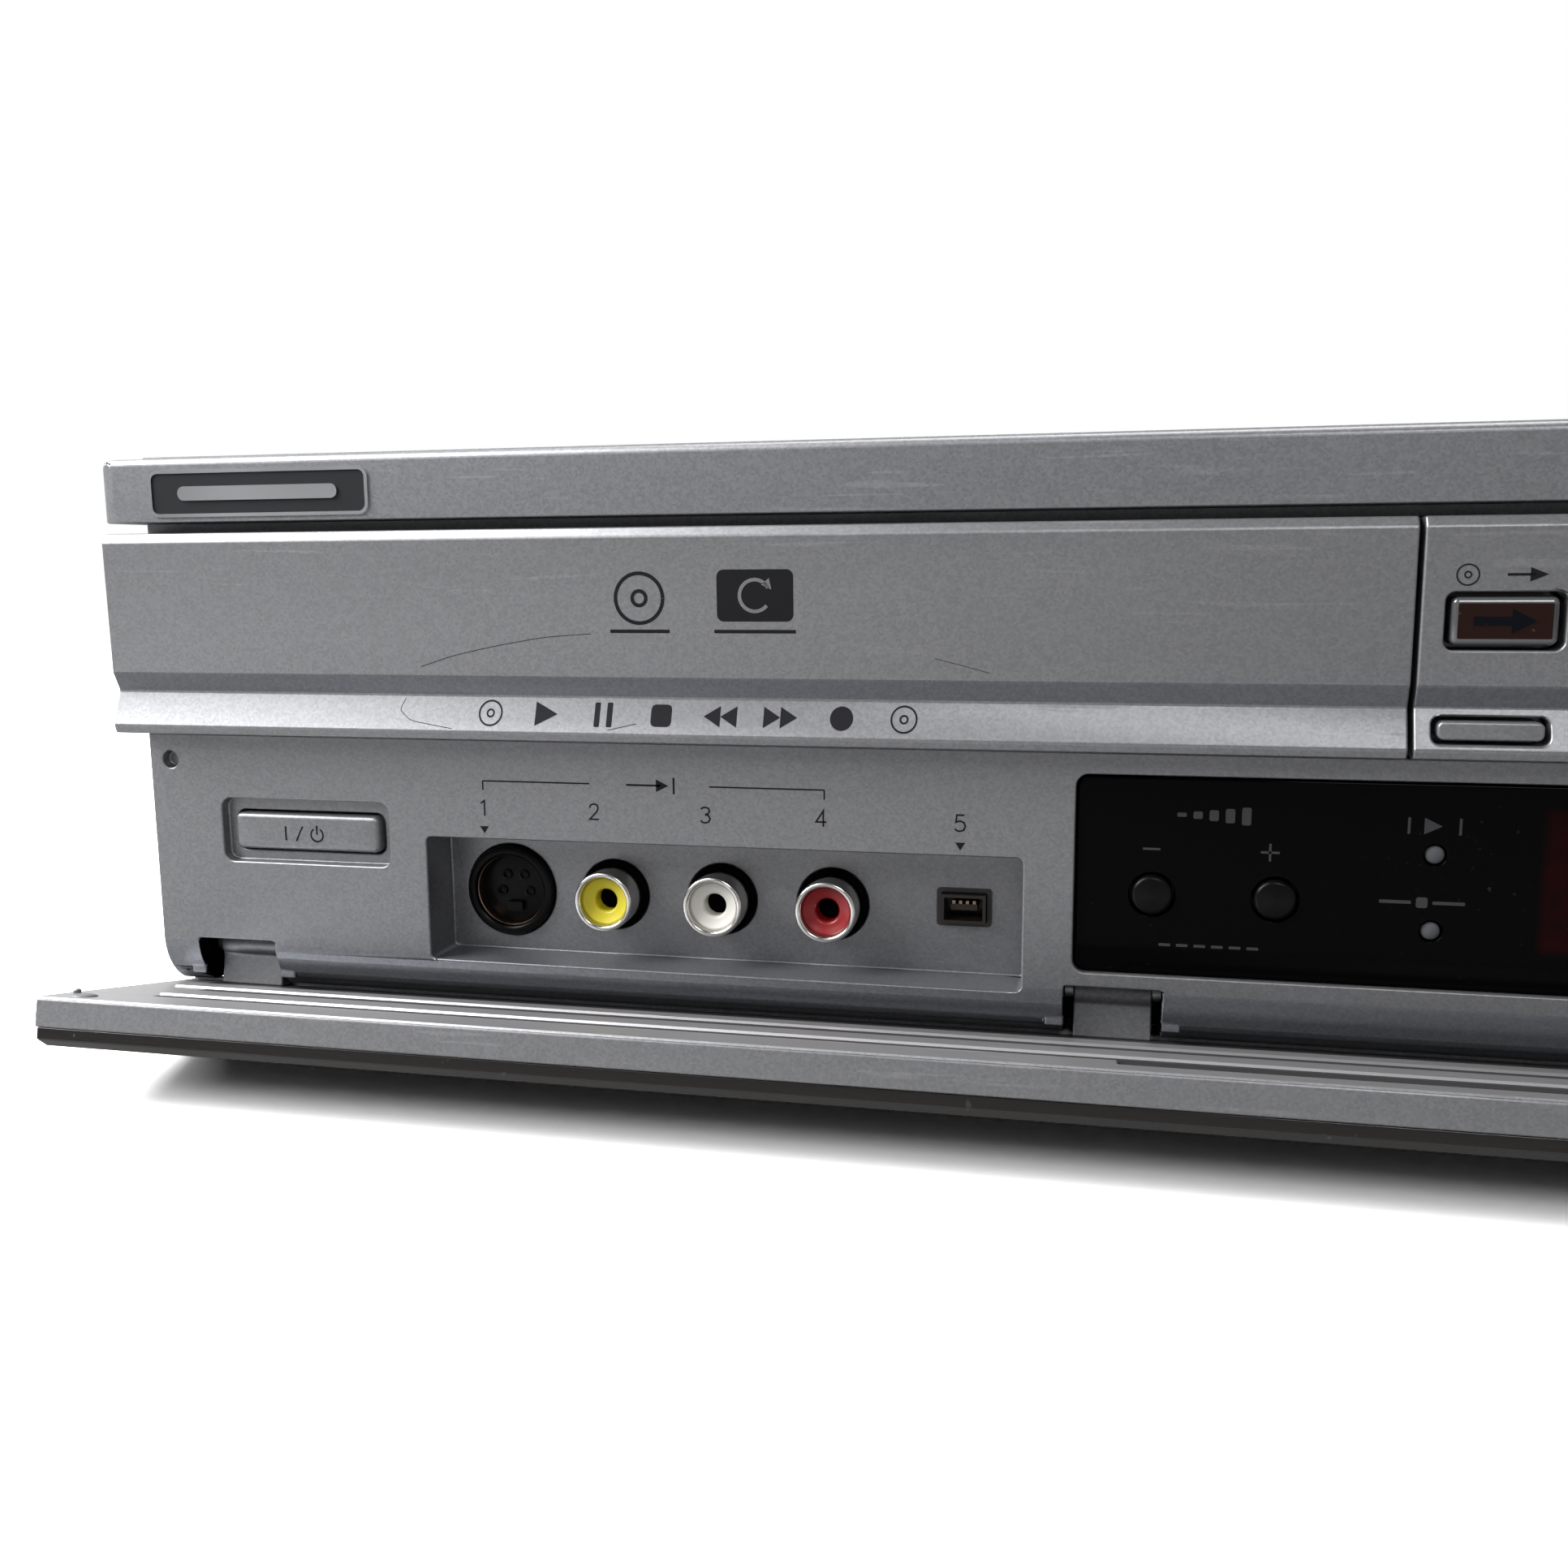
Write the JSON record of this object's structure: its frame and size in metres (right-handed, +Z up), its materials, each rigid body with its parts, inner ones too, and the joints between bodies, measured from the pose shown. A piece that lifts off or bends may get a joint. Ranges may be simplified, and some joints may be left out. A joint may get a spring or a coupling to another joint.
{
  "type": "dvd vcr combo player",
  "caption": "Disc and tape player with a sliding disc drawer, an inward tape flap and a drop-down front door over its sockets, display and buttons",
  "frame": {"origin": "centre of the bottom of the whole object's box at rest, on the surface it stands on", "axes": "+Z up, front towards -Y, +X to the right of someone who faces the front"},
  "size_m": [0.43, 0.375, 0.0855],
  "materials": {
    "silver_paint": "fine metallic silver paint over moulded plastic",
    "cap_paint": "fine metallic grey paint over moulded plastic",
    "cover_paint": "satin metallic grey paint on steel",
    "steel": "zinc plated sheet",
    "smoked": "dark clear acrylic, polished",
    "black_gloss": "polished black",
    "black": "fine matt",
    "lens": "smoked lens",
    "nickel": "polished nickel plate",
    "insert": "moulded colour: yellow, white and red",
    "lamp": "translucent grey",
    "board": "solder mask",
    "white_plastic": "moulded white",
    "grey_plastic": "moulded grey",
    "rubber": "matt",
    "cast": "turned and polished"
  },
  "bodies": {
    "chassis": {"bottom_chassis": "steel", "rear_panel": "cover_paint", "top_cover": "cover_paint", "front_bezel": "silver_paint", "front_cap": "cap_paint", "display_window": "black_gloss", "display_tube": "black_gloss", "front_board": "board", "jack_board": "black", "svideo_jack": "black", "rca_shells": "nickel", "rca_inserts": "insert", "dv_socket": "nickel", "status_leds": "lamp", "door_pins": "steel", "loading_motor": "steel", "loading_belt": "rubber", "drive_base": "grey_plastic", "drive_cover": "steel", "vcr_deck": "steel", "drum_base": "cast", "main_board": "board", "power_board": "board", "fan_frame": "black", "rear_jacks": "black", "tuner": "steel", "cord_gland": "black", "feet": "rubber", "cover_screws": "steel"},
    "drawer": {"tray_lid": "silver_paint", "disc_tray": "grey_plastic"},
    "front_door": {"door_frame": "silver_paint", "door_panel": "smoked", "door_arms": "silver_paint"},
    "traverse": {"traverse_frame": "grey_plastic", "guide_rods": "steel"},
    "drive_gear": {"drive_gear": "white_plastic"},
    "belt_pulley": {"belt_pulley": "white_plastic"},
    "motor_pulley": {"motor_pulley": "white_plastic"},
    "turntable": {"turntable": "black"},
    "pickup": {"pickup": "black"},
    "disc_clamp": {"disc_clamp": "white_plastic"},
    "cassette_flap": {"cassette_flap": "silver_paint"},
    "carriage_slides": {"carriage_slides": "white_plastic"},
    "cassette_carriage": {"cassette_carriage": "steel"},
    "head_drum": {"head_drum": "cast"},
    "capstan": {"capstan": "steel"},
    "supply_reel": {"supply_reel": "black"},
    "takeup_reel": {"takeup_reel": "black"},
    "fan_rotor": {"fan_rotor": "black"},
    "power_button": {"power_button": "silver_paint"},
    "dub_left_button": {"dub_left_button": "lens"},
    "dub_right_button": {"dub_right_button": "lens"},
    "tray_button": {"tray_button": "silver_paint"},
    "eject_button": {"eject_button": "silver_paint"},
    "channel_down_button": {"channel_down_button": "black_gloss"},
    "channel_up_button": {"channel_up_button": "black_gloss"},
    "rewind_button": {"rewind_button": "silver_paint"},
    "play_button": {"play_button": "silver_paint"},
    "forward_button": {"forward_button": "silver_paint"}
  },
  "joints": [
    {"name": "drawer_slide", "type": "slide", "parent": "chassis", "child": "drawer", "axis": [0, -1, 0], "range_m": [0, 0.138]},
    {"name": "drive_gear_turn", "type": "hinge", "parent": "chassis", "child": "drive_gear", "pos_m": [-0.17655, -0.13, 0.055], "axis": [0, 0, 1], "range_deg": [-5, 665]},
    {"name": "belt_pulley_turn", "type": "hinge", "parent": "chassis", "child": "belt_pulley", "pos_m": [-0.1556, -0.13, 0.05], "axis": [0, 0, 1], "range_deg": [-2210, 10]},
    {"name": "motor_pulley_turn", "type": "hinge", "parent": "chassis", "child": "motor_pulley", "pos_m": [-0.1139, -0.134, 0.05], "axis": [0, 0, 1], "range_deg": [-12600, 20]},
    {"name": "door_hinge", "type": "hinge", "parent": "chassis", "child": "front_door", "pos_m": [0, -0.1547, 0.0146], "axis": [1, 0, 0], "range_deg": [-78.2, 0]},
    {"name": "traverse_lift", "type": "hinge", "parent": "chassis", "child": "traverse", "pos_m": [-0.12845, 0.001, 0.04545], "axis": [-1, 0, 0], "range_deg": [0, 5.5]},
    {"name": "disc_spin", "type": "hinge", "parent": "traverse", "child": "turntable", "pos_m": [-0.12845, -0.088, 0.055], "axis": [0, 0, 1], "continuous": true},
    {"name": "pickup_slide", "type": "slide", "parent": "traverse", "child": "pickup", "axis": [0, 1, 0], "range_m": [0, 0.036]},
    {"name": "clamp_spin", "type": "hinge", "parent": "chassis", "child": "disc_clamp", "pos_m": [-0.12845, -0.088, 0.068], "axis": [0, 0, 1], "continuous": true},
    {"name": "flap_hinge", "type": "hinge", "parent": "chassis", "child": "cassette_flap", "pos_m": [0.1111, -0.1618, 0.0731], "axis": [1, 0, 0], "range_deg": [0, 80]},
    {"name": "carriage_back", "type": "slide", "parent": "chassis", "child": "carriage_slides", "axis": [0, 1, 0], "range_m": [0, 0.045]},
    {"name": "carriage_drop", "type": "slide", "parent": "carriage_slides", "child": "cassette_carriage", "axis": [0, 0, -1], "range_m": [0, 0.008]},
    {"name": "drum_spin", "type": "hinge", "parent": "chassis", "child": "head_drum", "pos_m": [0.1111, 0.034, 0.0415], "axis": [0, -0.1045, 0.9945], "continuous": true},
    {"name": "capstan_spin", "type": "hinge", "parent": "chassis", "child": "capstan", "pos_m": [0.1571, -0.002, 0.04], "axis": [0, 0, 1], "continuous": true},
    {"name": "supply_reel_spin", "type": "hinge", "parent": "chassis", "child": "supply_reel", "pos_m": [0.0651, -0.046, 0.039], "axis": [0, 0, 1], "continuous": true},
    {"name": "takeup_reel_spin", "type": "hinge", "parent": "chassis", "child": "takeup_reel", "pos_m": [0.1571, -0.046, 0.039], "axis": [0, 0, 1], "continuous": true},
    {"name": "fan_spin", "type": "hinge", "parent": "chassis", "child": "fan_rotor", "pos_m": [-0.0489, 0.169, 0.044], "axis": [0, 1, 0], "continuous": true},
    {"name": "power_press", "type": "slide", "parent": "chassis", "child": "power_button", "axis": [0, 1, 0], "range_m": [0, 0.002], "stiffness_N_per_m": 300, "springref_m": -0.001},
    {"name": "dub_left_press", "type": "slide", "parent": "chassis", "child": "dub_left_button", "axis": [0, 1, 0], "range_m": [0, 0.0008], "stiffness_N_per_m": 600, "springref_m": -0.0005},
    {"name": "dub_right_press", "type": "slide", "parent": "chassis", "child": "dub_right_button", "axis": [0, 1, 0], "range_m": [0, 0.0008], "stiffness_N_per_m": 600, "springref_m": -0.0005},
    {"name": "tray_press", "type": "slide", "parent": "chassis", "child": "tray_button", "axis": [0, 1, 0], "range_m": [0, 0.0008], "stiffness_N_per_m": 600, "springref_m": -0.0005},
    {"name": "eject_press", "type": "slide", "parent": "chassis", "child": "eject_button", "axis": [0, 1, 0], "range_m": [0, 0.0008], "stiffness_N_per_m": 600, "springref_m": -0.0005},
    {"name": "channel_down_press", "type": "slide", "parent": "chassis", "child": "channel_down_button", "axis": [0, 1, 0], "range_m": [0, 0.0008], "stiffness_N_per_m": 600, "springref_m": -0.0005},
    {"name": "channel_up_press", "type": "slide", "parent": "chassis", "child": "channel_up_button", "axis": [0, 1, 0], "range_m": [0, 0.0008], "stiffness_N_per_m": 600, "springref_m": -0.0005},
    {"name": "rewind_press", "type": "slide", "parent": "chassis", "child": "rewind_button", "axis": [0, 1, 0], "range_m": [0, 0.0008], "stiffness_N_per_m": 600, "springref_m": -0.0005},
    {"name": "play_press", "type": "slide", "parent": "chassis", "child": "play_button", "axis": [0, 1, 0], "range_m": [0, 0.0008], "stiffness_N_per_m": 600, "springref_m": -0.0005},
    {"name": "forward_press", "type": "slide", "parent": "chassis", "child": "forward_button", "axis": [0, 1, 0], "range_m": [0, 0.0008], "stiffness_N_per_m": 600, "springref_m": -0.0005}
  ],
  "couplings": [
    {"joint": "drive_gear_turn", "follows": "drawer_slide", "rad_per_m": 83.333},
    {"joint": "belt_pulley_turn", "follows": "drawer_slide", "rad_per_m": -277.78},
    {"joint": "motor_pulley_turn", "follows": "drawer_slide", "rad_per_m": -1585}
  ]
}
